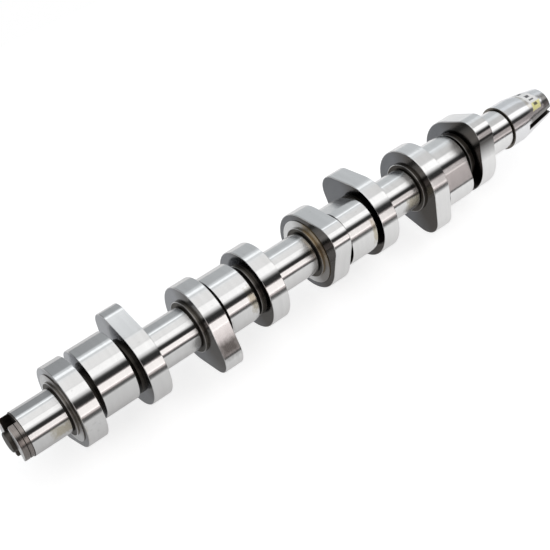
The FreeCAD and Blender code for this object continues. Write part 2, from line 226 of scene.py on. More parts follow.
def shaft_rings(s):
    """Rings of the whole shaft, drive end first."""
    rings = Rings()
    rings.add(s.drive_x, 0.0, FACE)
    rings.add(s.drive_x, s.drive_r - END_EDGE, FACE)
    rings.add(s.drive_x + END_EDGE_MIDDLE, s.drive_r - END_EDGE_MIDDLE, DRIVE)
    rings.add(s.drive_x + END_EDGE, s.drive_r, DRIVE)
    for side, depths in ((-1, (0.0, s.drive_groove_d)), (1, (s.drive_groove_d, 0.0))):
        for depth in depths:
            finish = DRIVE if side > 0 and depth == 0.0 else HOLLOW
            rings.add(s.drive_groove_x + side * s.drive_groove_w / 2, s.drive_r - depth, finish)
    rings.step(s.rear_journal_x, s.drive_r, s.journal_r, GROUND, HOLLOW, FINE_EDGE)
    for k, cylinder_turn in enumerate((0, 270, 90, 180)):
        outward = -1 if k < 2 else 1
        middle = (k - 1.5) * s.pitch
        inner_offset = s.valve_offset - (s.centre_shift if k in (1, 2) else 0.0)
        base_turn = s.rest_turn + math.radians(cylinder_turn)
        outer = (middle + outward * s.valve_offset, base_turn - s.valve_split, "outer")
        inner = (middle - outward * inner_offset, base_turn, "inner")
        first, second = sorted((outer, inner), key=lambda item: item[0])
        pump_start = middle - s.pump_width / 2 + (s.centre_shift if k == 2 else 0.0)
        pump_end = middle + s.pump_width / 2 - (s.centre_shift if k == 1 else 0.0)
        for place, lobe in (("first", first), ("second", second)):
            station, turned, side = lobe
            start = station - s.valve_width / 2
            end = station + s.valve_width / 2
            landed = (side, k) in (("outer", 0), ("inner", 2))
            if place == "first":
                groove_start = start - s.hub_h - s.relief
                rings.step(groove_start, s.journal_r, s.core_r, HOLLOW, HOLLOW, FINE_EDGE)
            else:
                rings.lobe(pump_start, pump_end, s.edge_r, PUMP, base_turn + s.pump_turn,
                           s.core_r, s.core_r)
            # painted shade: two of the gaps behind a pump lobe get the hollows' dark colour on their hub
            # too
            shaded_gap = place == "second" and k in (0, 2)
            hub, hub_rim = (HOLLOW, HOLLOW) if shaded_gap else (TURNED, FACE)
            rings.step(start - s.hub_h, s.core_r, s.hub_r, hub, HOLLOW, HUB_EDGE, hub_rim)
            if landed:
                rings.step(start - s.land_h, s.hub_r, s.land_r, TURNED, FACE)
            rings.lobe(start, end, s.edge_r, VALVE, turned,
                       s.land_r if landed else s.hub_r, s.hub_r)
            rings.step(end + s.hub_h, s.hub_r, s.core_r, HOLLOW, HOLLOW, FINE_EDGE)
            if place == "second":
                journal_start = end + s.hub_h + s.relief
                rings.step(journal_start, s.core_r, s.journal_r, GROUND, HOLLOW, FINE_EDGE)
    rings.step(s.collar_x - s.relief, s.journal_r, s.core_r, HOLLOW, TURNED, FINE_EDGE)
    rings.step(s.collar_x, s.core_r, s.collar_r, NOSE, TURNED, FINE_EDGE)
    for i in range(TAPER_STEPS + 1):
        x = s.taper_x + (s.nose_x - END_EDGE - s.taper_x) * i / TAPER_STEPS
        rings.add(x, taper_radius(s, x), NOSE)
    rings.add(s.nose_x - END_EDGE_MIDDLE, s.nose_end_r - END_EDGE_MIDDLE, NOSE)
    rings.add(s.nose_x, s.nose_end_r - END_EDGE, FACE)
    rings.add(s.nose_x, s.bore_mouth_r, HOLLOW)
    rings.add(s.nose_x - (s.bore_mouth_r - s.thread_r), s.thread_r, HOLLOW)
    rings.add(s.nose_x - s.bore_depth, s.thread_r, HOLLOW)
    rings.add(s.nose_x - s.bore_depth - s.thread_r / 2, 0.0, HOLLOW)
    return rings.rows


def tube(name, rows):
    """Mesh of rings joined one to the next, and the row of each face.

    A row is a station, a radius and a number of points, and a ring of one point closes an end.
    """
    points, faces, face_rows, first = [], [], [], 0
    for row, (x, r, count) in enumerate(rows):
        for i in range(count):
            angle = 2 * math.pi * i / count
            points.append((x, r * math.cos(angle), r * math.sin(angle)))
        if row:
            before = rows[row - 1][2]
            a, b, around = first - before, first, max(count, before)
            for i in range(around):
                j = (i + 1) % around
                if before == 1:
                    faces.append((a, b + j, b + i))
                elif count == 1:
                    faces.append((a + i, a + j, b))
                else:
                    faces.append((a + i, a + j, b + j, b + i))
                face_rows.append(row - 1)
        first += count
    mesh = bpy.data.meshes.new(name)
    mesh.from_pydata(points, [], faces)
    return mesh, face_rows


def blank_mesh(rows):
    """Tube of evenly turned rings whose points carry what the lobe rule needs."""
    for row, other in zip(rows, rows[1:]):
        if row[:2] == other[:2] and row[3:] == other[3:]:
            raise RuntimeError(f"two rings at {row[0]} are the same")
    counts = [1 if form == ROUND and size == 0.0 else AROUND for _, size, _, form, _ in rows]
    mesh, face_rows = tube("blank", [(row[0], 1.0, count) for row, count in zip(rows, counts)])
    for name, place in (("ring_size", 1), ("ring_form", 3), ("ring_turn", 4)):
        values = [float(row[place]) for row, count in zip(rows, counts) for _ in range(count)]
        mesh.attributes.new(name, "FLOAT", "POINT").data.foreach_set("value", values)
    mesh.attributes.new("finish", "INT", "FACE").data.foreach_set(
        "value", [rows[row][2] for row in face_rows])
    mesh.update()
    return mesh


def add_node(tree, kind, inputs=None, **settings):
    """Node with its options set and its inputs linked or given a value."""
    node = tree.nodes.new(kind)
    for option, value in settings.items():
        setattr(node, option, value)
    for name, value in (inputs or {}).items():
        if isinstance(value, Maths):
            value = value.socket
        if isinstance(value, bpy.types.NodeSocket):
            tree.links.new(value, node.inputs[name])
        else:
            node.inputs[name].default_value = value
    return node


class Maths:
    """Arithmetic on the sockets of a node tree, so that a rule reads as a formula."""

    def __init__(self, tree, socket):
        self.tree = tree
        self.socket = socket

    def call(self, operation, *others):
        """Maths node on this value and up to two others."""
        node = add_node(self.tree, "ShaderNodeMath", dict(enumerate((self, *others))), operation=operation)
        return Maths(self.tree, node.outputs[0])

    __add__ = partialmethod(call, "ADD")
    __sub__ = partialmethod(call, "SUBTRACT")
    __mul__ = partialmethod(call, "MULTIPLY")
    __truediv__ = partialmethod(call, "DIVIDE")
    cos = partialmethod(call, "COSINE")
    sin = partialmethod(call, "SINE")
    root = partialmethod(call, "SQRT")
    least = partialmethod(call, "MINIMUM")
    most = partialmethod(call, "MAXIMUM")
    above = partialmethod(call, "GREATER_THAN")

    def clamp(self):
        """Held between 0 and 1."""
        return self.most(0.0).least(1.0)

    def pick(self, low, high):
        """low where this is 0 and high where it is 1."""
        return low + (high - low) * self

    def band(self, low, high, soft, last_soft=None):
        """1 between two values, falling to 0 over soft edges."""
        rise = ((self - low) / soft + 0.5).clamp()
        fall = ((self * -1.0 + high) / (last_soft or soft) + 0.5).clamp()
        return rise * fall


def split(tree, vector):
    """The three values of a vector."""
    node = add_node(tree, "ShaderNodeSeparateXYZ", {0: vector})
    return tuple(Maths(tree, socket) for socket in node.outputs)


def joined(tree, values):
    """Vector of three values."""
    return add_node(tree, "ShaderNodeCombineXYZ", dict(enumerate(values))).outputs[0]


def new_group(name, inputs, outputs, kind="ShaderNodeTree"):
    """Empty node group with named sockets, and its two end nodes."""
    tree = bpy.data.node_groups.new(name, kind)
    for label, socket, value in inputs:
        item = tree.interface.new_socket(label, in_out="INPUT", socket_type=socket)
        if value is not None:
            item.default_value = value
    for label, socket in outputs:
        tree.interface.new_socket(label, in_out="OUTPUT", socket_type=socket)
    return tree, tree.nodes.new("NodeGroupInput"), tree.nodes.new("NodeGroupOutput")


def new_rule(name, shapes, lengths, output):
    """Empty geometry tree, its two end nodes and its lengths as values."""
    inputs = [(label, "NodeSocketGeometry", None) for label in shapes]
    inputs += [(label, "NodeSocketFloat", 0.0) for label in lengths]
    tree, start, end = new_group(name, inputs, [(output, "NodeSocketGeometry")], "GeometryNodeTree")
    for item in tree.interface.items_tree:
        if item.name in lengths:
            item.subtype = "DISTANCE"
    return tree, start, end, {label: Maths(tree, start.outputs[label]) for label in lengths}


def circle_hit(angle, along, across, radius):
    """Distance from the axis to a circle around a point, in the direction of an angle."""
    toward = along * angle.cos() + across * angle.sin()
    beside = along * angle.sin() - across * angle.cos()
    return toward + (radius * radius - beside * beside).most(0.0).root()


def lobe_tree(materials):
    """Node tree that turns a blank of plain rings into lobes, journals and collars."""
    tree, start, end, sizes = new_rule(
        "lobe_rule", ["Blank"],
        ["Valve base radius", "Valve nose radius", "Valve nose reach", "Pump base radius",
         "Pump nose radius", "Pump nose reach", "Pump nose side", "Pump back radius"], "Shaft")

    def carried(name, kind="FLOAT"):
        """Value that the blank's points or faces carry."""
        node = add_node(tree, "GeometryNodeInputNamedAttribute", {"Name": name}, data_type=kind)
        return Maths(tree, node.outputs["Attribute"])

    x, y, z = split(tree, tree.nodes.new("GeometryNodeInputPosition").outputs[0])
    around = z.call("ARCTAN2", y)
    size, form, turned = carried("ring_size"), carried("ring_form"), carried("ring_turn")
    angle = (around - turned).call("WRAP", math.pi, -math.pi)

    # valve lobe: two circles joined by the lines that touch both
    base, nose, reach = (sizes["Valve " + name] for name in ("base radius", "nose radius", "nose reach"))
    touch = ((base - nose) / reach).call("ARCCOSINE")
    side = angle.call("ABSOLUTE")
    small = nose - size
    nose_to = (small * touch.sin()).call("ARCTAN2", reach + small * touch.cos())
    flank = (base - size) / (side - touch).cos()
    tip = circle_hit(side, reach, reach * 0.0, small)
    valve = side.above(touch).pick(side.above(nose_to).pick(tip, flank), base - size)

    # pump lobe: base circle, straight flank, nose circle and the long arc of the back
    base, nose, back, px, py = (sizes["Pump " + name] for name in
                                ("base radius", "nose radius", "back radius", "nose reach", "nose side"))
    reach = (px * px + py * py).root()
    lean = py.call("ARCTAN2", px)
    touch = lean - ((base - nose) / reach).call("ARCCOSINE")
    along = ((back - base) * (back - base) - (back - nose) * (back - nose) + reach * reach) / (reach * 2.0)
    across = ((back - base) * (back - base) - along * along).root()
    back_x = along * lean.cos() + across * lean.sin()
    back_y = along * lean.sin() - across * lean.cos()
    nose_end = (py - back_y).call("ARCTAN2", px - back_x)
    back_end = (back_y * -1.0).call("ARCTAN2", back_x * -1.0)
    small = nose - size
    flank_to = (py + small * touch.sin()).call("ARCTAN2", px + small * touch.cos())
    nose_to = (py + small * nose_end.sin()).call("ARCTAN2", px + small * nose_end.cos())
    flank = (base - size) / (angle - touch).cos()
    tip = circle_hit(angle, px, py, small)
    fall = circle_hit(angle, back_x, back_y, back - size)
    pump = angle.above(touch).pick(base - size, flank)
    pump = angle.above(flank_to).pick(pump, tip)
    pump = angle.above(nose_to).pick(pump, fall)
    pump = angle.above(back_end).pick(pump, base - size)

    radius = form.above(0.5).pick(size, form.above(1.5).pick(valve, pump))
    place = joined(tree, (x, radius * around.cos(), radius * around.sin()))
    move = add_node(tree, "GeometryNodeSetPosition", {
        "Geometry": start.outputs["Blank"], "Position": place})
    last = add_node(tree, "GeometryNodeRealizeInstances", {0: move.outputs[0]})
    finish = carried("finish", "INT")
    for number, material in enumerate(materials):
        match = add_node(tree, "FunctionNodeCompare", data_type="INT", operation="EQUAL")
        first, second = [socket for socket in match.inputs if socket.type == "INT"]
        tree.links.new(finish.socket, first)
        second.default_value = number
        last = add_node(tree, "GeometryNodeSetMaterial", {
            "Geometry": last.outputs[0], "Selection": match.outputs[0], "Material": material})
    tree.links.new(last.outputs[0], end.inputs["Shaft"])
    return tree


def put(name, data):
    """Object in the scene that holds a mesh, a lamp or the camera."""
    thing = bpy.data.objects.new(name, data)
    bpy.context.collection.objects.link(thing)
    return thing


def worked_in(piece):
    """Plain mesh of a piece with its modifiers worked in, after which they are removed."""
    bpy.context.view_layer.update()
    graph = bpy.context.evaluated_depsgraph_get()
    made = bpy.data.meshes.new_from_object(piece.evaluated_get(graph), depsgraph=graph)
    piece.modifiers.clear()
    return made


def run_tree(name, mesh, tree, values):
    """Runs a node tree on a mesh and returns the result as an object with a plain mesh."""
    source = put(name + "_source", mesh)
    modifier = source.modifiers.new("tree", "NODES")
    modifier.node_group = tree
    for item in tree.interface.items_tree:
        if item.item_type == "SOCKET" and item.in_out == "INPUT" and item.name in values:
            modifier[item.identifier] = values[item.name]
    source.update_tag()
    made = worked_in(source)
    bpy.data.objects.remove(source)
    made.name = name
    return put(name, made)


def prism(name, sections, material):
    """Closed cutter through matching four-cornered sections."""
    mesh = bpy.data.meshes.new(name)
    points = [point for section in sections for point in section]
    last = 4 * (len(sections) - 1)
    faces = [(3, 2, 1, 0), (last, last + 1, last + 2, last + 3)]
    for k in range(len(sections) - 1):
        for i in range(4):
            j = (i + 1) % 4
            faces.append((4 * k + i, 4 * k + j, 4 * k + 4 + j, 4 * k + 4 + i))
    mesh.from_pydata(points, [], faces)
    mesh.materials.append(material)
    return closed(name, mesh)


def closed(name, mesh):
    """Object of a closed mesh with its faces turned outward."""
    shape = bmesh.new()
    shape.from_mesh(mesh)
    bmesh.ops.recalc_face_normals(shape, faces=shape.faces)
    shape.to_mesh(mesh)
    shape.free()
    return put(name, mesh)


def combine(piece, other, operation):
    """Cuts one piece with another or joins them, and removes the other."""
    modifier = piece.modifiers.new("combine", "BOOLEAN")
    modifier.operation = operation
    modifier.solver = "EXACT"
    modifier.material_mode = "TRANSFER"
    modifier.object = other
    made = worked_in(piece)
    bpy.data.objects.remove(other)
    if len(made.polygons) == 0:
        raise RuntimeError(f"the {operation.lower()} left nothing of {piece.name}")
    piece.data = made


def shade(piece, degrees=25.0):
    """Smooth faces with crisp edges and true flats, once slivers without area are gone."""
    mesh = piece.data
    shape = bmesh.new()
    shape.from_mesh(mesh)
    bmesh.ops.dissolve_degenerate(shape, dist=0.0005 * MM, edges=shape.edges)
    shape.to_mesh(mesh)
    shape.free()
    mesh.polygons.foreach_set("use_smooth", [True] * len(mesh.polygons))
    mesh.set_sharp_from_angle(angle=math.radians(degrees))
    modifier = piece.modifiers.new("flats", "WEIGHTED_NORMAL")
    modifier.keep_sharp = True
    modifier.weight = 100
    piece.data = worked_in(piece)


# Shader groups: each reads a point and some numbers, and puts out masks or values

def shader_group(name, numbers, outputs):
    """Empty shader group, the node of its outputs, its point and its numbers."""
    inputs = [("Vector", "NodeSocketVector", (0.0, 0.0, 0.0))]
    inputs += [(label, "NodeSocketFloat", value) for label, value in numbers.items()]
    tree, start, end = new_group(name, inputs, [(label, "NodeSocketFloat") for label in outputs])
    given = {label: Maths(tree, start.outputs[label]) for label in numbers}
    return tree, end, start.outputs["Vector"], given


def around_axis(tree, vector):
    """Station, distance from the axis and direction of a point, as three values."""
    x, y, z = split(tree, vector)
    return x, (y * y + z * z).root(), z.call("ARCTAN2", y)


def degrees_from(angle, middle):
    """Degrees from a direction, less than none before it and more after it."""
    return (angle * DEGREES - middle).call("WRAP", 180.0, -180.0)


def noise(tree, values, scale, detail=2.0, roughness=0.5):
    """Noise on three values, centred on 0.5."""
    node = add_node(tree, "ShaderNodeTexNoise", {
        "Vector": joined(tree, values), "Scale": scale, "Detail": detail, "Roughness": roughness})
    return Maths(tree, node.outputs["Fac"])


def grain_group():
    """Fine grinding and turning marks that run around the shaft."""
    tree, end, vector, given = shader_group("grain", {"Pitch": 2500.0, "Faces": 0.0}, ["Height", "Marks"])
    x, r, angle = around_axis(tree, vector)
    travel = (x + r * given["Faces"]) * given["Pitch"]
    fine = noise(tree, (travel, angle.cos() * 1.5, angle.sin() * 1.5), 1.0, 3.0, 0.6)
    broad = noise(tree, (travel * 0.12, angle.cos() * 0.8, angle.sin() * 0.8), 1.0, 2.0)
    tree.links.new((fine * 0.7 + broad * 0.3).socket, end.inputs["Height"])
    tree.links.new(broad.socket, end.inputs["Marks"])
    return tree


def wear_group():
    """Slow variation of the surface: handling smears and faint dried oil."""
    tree, end, vector, given = shader_group("wear", {"Amount": 0.5}, ["Smear", "Spots"])
    point = split(tree, vector)
    smear = noise(tree, point, 45.0, 4.0, 0.6)
    spots = noise(tree, point, 420.0)
    tree.links.new(((smear - 0.5) * given["Amount"]).socket, end.inputs["Smear"])
    tree.links.new((((spots - 0.66) * 9.0).clamp() * given["Amount"]).socket, end.inputs["Spots"])
    return tree


def patch_group():
    """Uneven patch around a point of the surface, given by its station and direction."""
    tree, end, vector, given = shader_group(
        "patch", {"Station": 0.0, "Direction": 0.0, "Length": 0.005, "Spread": 10.0,
                  "Lean": 0.0, "Ragged": 1.0, "Soft": 0.0}, ["Mask"])
    x, _, angle = around_axis(tree, vector)
    turned = degrees_from(angle, given["Direction"])
    along = (x - given["Station"] - turned * given["Lean"]) / given["Length"]
    across = turned / given["Spread"]
    blur = noise(tree, (x * 1000.0, angle.cos() * 14.0, angle.sin() * 14.0), 0.5, 4.0, 0.65) - 0.5
    far = along.call("ABSOLUTE").most(across.call("ABSOLUTE")) + blur * given["Ragged"]
    soft = given["Ragged"] * 0.35 + given["Soft"] + 0.05
    tree.links.new(((far * -1.0 + 0.5) / soft + 0.5).clamp().socket, end.inputs["Mask"])
    return tree


def painted_shade_group():
    """Painted shade on the lobes' sides, darkest around one direction, reaching further round on the front
    lobes.
    """
    tree, end, vector, _ = shader_group("painted_shade", {}, ["Mask"])
    x, _, angle = around_axis(tree, vector)
    reach = ((x + 0.1) * 20.0).clamp() * 26.0
    turned = degrees_from(angle, PAINTED_SHADE_MIDDLE) - reach
    mask = ((turned.call("ABSOLUTE") * -1.0 + reach + 60.0) / 40.0 + 0.5).clamp()
    tree.links.new(mask.socket, end.inputs["Mask"])
    return tree


def shade_of(colour, factor):
    """The same colour, darker or lighter."""
    return tuple(min(1.0, channel * factor) for channel in colour)


class Steel:
    """Node material of one finish, whose colour is laid on in coats."""

    def __init__(self, name, groups, pitch, faces, wear):
        self.material = bpy.data.materials.new(name)
        self.material.use_nodes = True
        self.tree = self.material.node_tree
        self.shader = self.tree.nodes["Principled BSDF"]
        self.shader.inputs["Metallic"].default_value = 1.0
        self.vector = self.tree.nodes.new("ShaderNodeTexCoord").outputs["Object"]
        self.x, _, self.angle = around_axis(self.tree, self.vector)
        self.groups = groups
        self.height, self.marks = self.place("grain", Pitch=pitch, Faces=faces)
        self.smear, self.spots = self.place("wear", Amount=wear)
        self.colour = None

    def place(self, group, **values):
        """Puts a shader group into the material and returns its outputs."""
        node = add_node(self.tree, "ShaderNodeGroup", node_tree=self.groups[group])
        self.tree.links.new(self.vector, node.inputs["Vector"])
        for name, value in values.items():
            node.inputs[name].default_value = value
        return tuple(Maths(self.tree, socket) for socket in node.outputs)

    def spot(self, station, direction, length, spread, ragged=1.0, lean=0.0, soft=0.0):
        """Mask of one patch; station and length in metres, direction and spread in degrees."""
        return self.place("patch", Station=station, Direction=direction, Length=length,
                          Spread=spread, Ragged=ragged, Lean=lean, Soft=soft)[0]

    def area(self, stations, directions):
        """Mask between two stations and two directions, each with the softness of its edges."""
        return self.x.band(*stations) * degrees_from(self.angle, 0.0).band(*directions)

    def painted_shade(self):
        """Mask of the painted shade on the lobes' sides."""
        return self.place("painted_shade")[0]

    def base(self, mask, colour, low, high):
        """First coat: two shades of a colour, mixed by the marks."""
        self.colour = shade_of(colour, low)
        self.lay(mask, shade_of(colour, high))

    def lay(self, mask, colour):
        """Lays a colour over the coats so far where the mask is 1."""
        node = add_node(self.tree, "ShaderNodeMix", {"Factor": mask}, data_type="RGBA")
        colours = [socket for socket in node.inputs if socket.type == "RGBA"]
        for socket, value in zip(colours, (self.colour, colour)):
            if isinstance(value, bpy.types.NodeSocket):
                self.tree.links.new(value, socket)
            else:
                socket.default_value = (*value, 1.0)
        self.colour = [socket for socket in node.outputs if socket.type == "RGBA"][0]

    def brushed(self, amount):
        """Marks around the shaft blur its reflections along it, not around it."""
        self.shader.inputs["Anisotropic"].default_value = amount
        self.shader.inputs["Anisotropic Rotation"].default_value = 0.25
        node = add_node(self.tree, "ShaderNodeTangent", direction_type="RADIAL", axis="X")
        self.tree.links.new(node.outputs[0], self.shader.inputs["Tangent"])

    def finish(self, roughness, bump):
        """Links the colour, the roughness and the marks to the shader."""
        node = add_node(self.tree, "ShaderNodeBump", {
            "Strength": bump, "Distance": GRAIN_HEIGHT, "Height": self.height})
        for socket, name in ((self.colour, "Base Color"), (roughness.socket, "Roughness"),
                             (node.outputs[0], "Normal")):
            self.tree.links.new(socket, self.shader.inputs[name])
        return self.material


def ground_steel(f, groups):
    """Polished journals and lobes, with faint oil stains beside some shoulders."""
    steel = Steel("ground_steel", groups, pitch=2600.0, faces=0.0, wear=0.6)
    steel.base(steel.marks, f.ground, 0.92, 1.05)
    steel.lay(steel.spots * 0.35, shade_of(f.ground, 0.55))
    oil = steel.spot(-0.1675, 171.0, 0.012, 30.0)
    for place in ((-0.0365, 150.0, 0.005, 44.0), (0.0535, 155.0, 0.003, 36.0),
                  (0.0965, 172.0, 0.011, 34.0)):
        oil = oil.most(steel.spot(*place))
    steel.lay(oil * 0.5, f.stain)
    wear_and_shade = steel.spot(-0.0657, 175.5, 0.0165, 17.0, ragged=0.4, soft=0.4)
    steel.lay(wear_and_shade * 0.9, f.wear_and_shade)
    # the flank of the last lobe is darker at its upper edge, fading downwards
    flank = steel.area((0.147, 0.1604, 0.0002), (124.5, 143.0, 4.0, 24.0))
    steel.lay(flank * 0.95, shade_of(f.wear_and_shade, 0.4))
    steel.brushed(1.0)
    roughness = steel.smear * 0.06 + (steel.height - 0.5) * 0.06 + (oil + wear_and_shade) * 0.12 + f.gloss
    return steel.finish(roughness, f.grain)


def turned_steel(f, groups):
    """Duller hubs and the shaft between them, with rings from the turning tool; their dark colour is partly
    painted shade of the gaps between the lobes.
    """
    steel = Steel("turned_steel", groups, pitch=1500.0, faces=1.0, wear=0.8)
    steel.base(steel.height, f.turned, 0.65, 1.35)
    # painted light: the hub beside the centre journal is painted bright above, and golden in front where
    # the painted shade of the sides falls
    bright = steel.x.band(0.0163, 0.0185, 0.0003)
    steel.lay(bright, shade_of(f.face, 0.75))
    steel.lay(bright * steel.painted_shade(), f.golden_tone)
    steel.lay(steel.spots * 0.5, shade_of(f.turned, 0.5))
    return steel.finish(steel.smear * 0.2 + (steel.height - 0.5) * 0.2 + 0.3, 0.5)


def side_steel(f, groups):
    """Dark sides of the lobes: partly their own dark skin, partly painted shade, with a painted reflection
    and a painted shade laid on.
    """
    steel = Steel("side_steel", groups, pitch=1200.0, faces=1.0, wear=0.8)
    steel.base(steel.marks, f.side, 0.85, 1.15)
    # painted reflection: the sides are painted lighter towards the drive end, most of all past the painted
    # shade
    past = ((degrees_from(steel.angle, PAINTED_SHADE_MIDDLE) - 45.0) / -30.0).most(0.25).least(1.0)
    steel.lay((steel.x * -6.0).clamp() * past, shade_of(f.side, 3.0))
    # painted shade: the darkest colour of the sides, around one direction
    steel.lay(steel.painted_shade() * 0.9, f.skin)
    steel.lay(steel.spots * 0.5, shade_of(f.side, 0.6))
    return steel.finish(steel.smear * 0.12 + 0.17, 0.4)


def face_steel(f, groups):
    """Bright faced ends and lands."""
    steel = Steel("face_steel", groups, pitch=1500.0, faces=1.0, wear=0.5)
    steel.base(steel.height, f.face, 0.8, 1.25)
    # painted shade: the lands of the lobes get the same painted shade as the sides around them
    steel.lay(steel.painted_shade() * steel.x.above(-0.19) * 0.8, shade_of(f.skin, 2.2))
    # the hub rim beside the centre journal is golden in front, where the painted shade of the sides falls
    steel.lay(steel.x.above(0.0) * steel.spot(0.0171, 122.0, 0.01, 75.0) * 0.8, f.golden_tone)
    steel.lay(steel.spots * 0.3, shade_of(f.face, 0.6))
    return steel.finish(steel.smear * 0.12 + 0.34, 0.4)


def drive_steel(f, groups):
    """Brownish band of the drive end, never ground."""
    steel = Steel("drive_steel", groups, pitch=1800.0, faces=0.3, wear=1.0)
    steel.base(steel.height, f.drive, 0.5, 1.45)
    steel.lay(steel.spots, shade_of(f.drive, 0.4))
    steel.brushed(0.5)
    return steel.finish(steel.smear * 0.2 + (steel.height - 0.5) * 0.2 + 0.24, 0.6)


def nose_steel(f, groups):
    """Collar and taper, with inspection ink and a spot of yellow paint."""
    steel = Steel("nose_steel", groups, pitch=2000.0, faces=0.3, wear=0.6)
    steel.base(steel.marks, f.nose, 0.92, 1.05)
    steel.lay(steel.spots * 0.4, shade_of(f.nose, 0.5))
    # painted shade: the taper is painted dark at its end and above the keyway
    steel.lay(steel.spot(0.228, 127.0, 0.007, 42.0, ragged=0.8) * 0.8, f.wear_and_shade)
    steel.lay(steel.area((0.2068, 0.24, 0.004), (147.0, 166.0, 12.0, 2.0)) * 0.85, f.wear_and_shade)
    # a pale band of paint with a yellow dab at its end, and four plain strokes of ink
    steel.lay(steel.spot(0.2113, 98.0, 0.003, 70.0, ragged=0.6) * 0.25, f.stain)
    wash = steel.spot(0.2165, 78.0, 0.0095, 88.0, ragged=0.25, lean=0.00004)
    steel.lay(wash * 0.95, f.wash)
    paint = steel.spot(0.2179, 126.5, 0.0088, 23.0, ragged=0.25, lean=-0.0001)
    steel.lay(paint, f.paint)
    ink = steel.spot(0.2153, 64.5, 0.0034, 9.0, ragged=0.5)
    for place in ((0.2168, 88.5, 0.0038, 10.0), (0.2172, 104.0, 0.0042, 5.0),
                  (0.2179, 121.5, 0.0036, 9.0)):
        ink = ink.most(steel.spot(*place, ragged=0.5))
    steel.lay(ink * 0.9, f.ink)
    painted = wash.most(paint).most(ink * 0.9)
    steel.tree.links.new((painted * -1.0 + 1.0).socket, steel.shader.inputs["Metallic"])
    steel.brushed(1.0)
    roughness = steel.smear * 0.1 + (steel.height - 0.5) * 0.06 + painted * 0.3 + f.gloss
    return steel.finish(roughness, f.grain)


def hollow_steel(f, groups):
    """Dark slot, grooves, keyway and bolt hole, their dark colour painted shade of the hollows."""
    steel = Steel("hollow_steel", groups, pitch=1500.0, faces=0.5, wear=1.0)
    steel.base(steel.marks, f.turned, 0.3, 0.6)
    steel.lay(steel.spots, shade_of(f.turned, 0.25))
    return steel.finish(steel.smear * 0.3 + 0.42, 0.5)


def turned_points(x, turned, corners):
    """Points at a station, each given along a direction from the axis and across it."""
    c, n = math.cos(turned), math.sin(turned)
    return [(x, along * c - across * n, along * n + across * c) for along, across in corners]


class CAMSHAFT_OT_shaft(bpy.types.Operator):
    """Makes the shaft with its lobes, drive end and nose"""
    bl_idname = "camshaft.shaft"
    bl_label = "Shaft"

    def execute(self, context):
        s, f = context.scene.camshaft_sizes, context.scene.camshaft_finish
        groups = {"grain": grain_group(), "wear": wear_group(),
                  "patch": patch_group(), "painted_shade": painted_shade_group()}
        materials = [make(f, groups) for make in (
            ground_steel, turned_steel, side_steel, drive_steel, face_steel, nose_steel, hollow_steel)]
        # the rule's lengths bear the names of the size properties
        values = {size.name: getattr(s, size.identifier) for size in s.bl_rna.properties}
        shaft = run_tree("shaft", blank_mesh(shaft_rings(s)), lobe_tree(materials), values)

        # slot right across the drive end, with its edges broken
        far = 2 * s.drive_r
        low, high = s.slot_offset - s.slot_width / 2, s.slot_offset + s.slot_width / 2
        sections = []
        for x, spread in ((s.drive_x - MM, MM + FINE_EDGE), (s.drive_x + FINE_EDGE, 0.0),
                          (s.drive_x + s.slot_depth, 0.0)):
            sections.append(turned_points(x, s.slot_turn, (
                (-far, low - spread), (far, low - spread),
                (far, high + spread), (-far, high + spread))))
        combine(shaft, prism("slot_cutter", sections, materials[HOLLOW]), "DIFFERENCE")

        # boss standing in the slot
        root, top = s.drive_x + s.slot_depth + MM, s.drive_x - s.boss_h
        rows = [(root, 0.0), (root, s.boss_r), (top + 0.5 * MM, s.boss_r),
                (top + 0.15 * MM, s.boss_r - 0.15 * MM), (top, s.boss_r - 0.5 * MM), (top, 0.0)]
        mesh, _ = tube("boss", [(x, r, 96 if r else 1) for x, r in rows])
        # the boss gets the hollows' dark colour, painted shade
        mesh.materials.append(materials[HOLLOW])
        combine(shaft, closed("boss", mesh), "UNION")

        # keyway along the taper
        half, top = s.key_width / 2, s.collar_r + s.key_depth
        sections = []
        for x in (s.key_start_x, s.nose_x + 3 * MM):
            floor = taper_radius(s, x) - s.key_depth
            sections.append(turned_points(x, s.key_turn, (
                (floor, -half), (floor, half), (top, half), (top, -half))))
        combine(shaft, prism("key_cutter", sections, materials[HOLLOW]), "DIFFERENCE")
        shade(shaft)
        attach(shaft, "root")
        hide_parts("camshaft")
        return {"FINISHED"}


def thread_tree(material):
    """Node tree that winds a ridge along a helix inside the bolt hole."""
    tree, _, end, sizes = new_rule(
        "thread_rule", [], ["Outer radius", "Inner radius", "Pitch", "Depth", "Front station"], "Thread")
    outer, inner, pitch, depth, front = sizes.values()
    # points of one long line are counted from the mouth inwards, and laid on the helix
    per_turn = 48.0
    count = (depth / pitch * per_turn).call("ROUND")
    line = add_node(tree, "GeometryNodeMeshLine", {"Count": count})
    curve = add_node(tree, "GeometryNodeMeshToCurve", {0: line.outputs[0]})
    index = Maths(tree, tree.nodes.new("GeometryNodeInputIndex").outputs[0])
    angle = index * (2 * math.pi / per_turn)
    middle = (outer + inner) / 2.0
    place = joined(tree, (front - index * (pitch / per_turn), middle * angle.cos(), middle * angle.sin()))
    move = add_node(tree, "GeometryNodeSetPosition", {"Geometry": curve.outputs[0], "Position": place})
    # ridge: a low bar whose foot lies in the wall, thinned away at both ends
    ends = (index / 24.0).least((count - index) / 24.0).least(1.0).most(0.15)
    thin = add_node(tree, "GeometryNodeSetCurveRadius", {"Curve": move.outputs[0], "Radius": ends})
    ridge = add_node(tree, "GeometryNodeCurvePrimitiveCircle", {
        "Resolution": 6, "Radius": (outer - inner) * 0.62})
    skin = add_node(tree, "GeometryNodeCurveToMesh", {
        "Curve": thin.outputs[0], "Profile Curve": ridge.outputs[0], "Fill Caps": True})
    real = add_node(tree, "GeometryNodeRealizeInstances", {0: skin.outputs[0]})
    paint = add_node(tree, "GeometryNodeSetMaterial", {"Geometry": real.outputs[0], "Material": material})
    tree.links.new(paint.outputs[0], end.inputs["Thread"])
    return tree


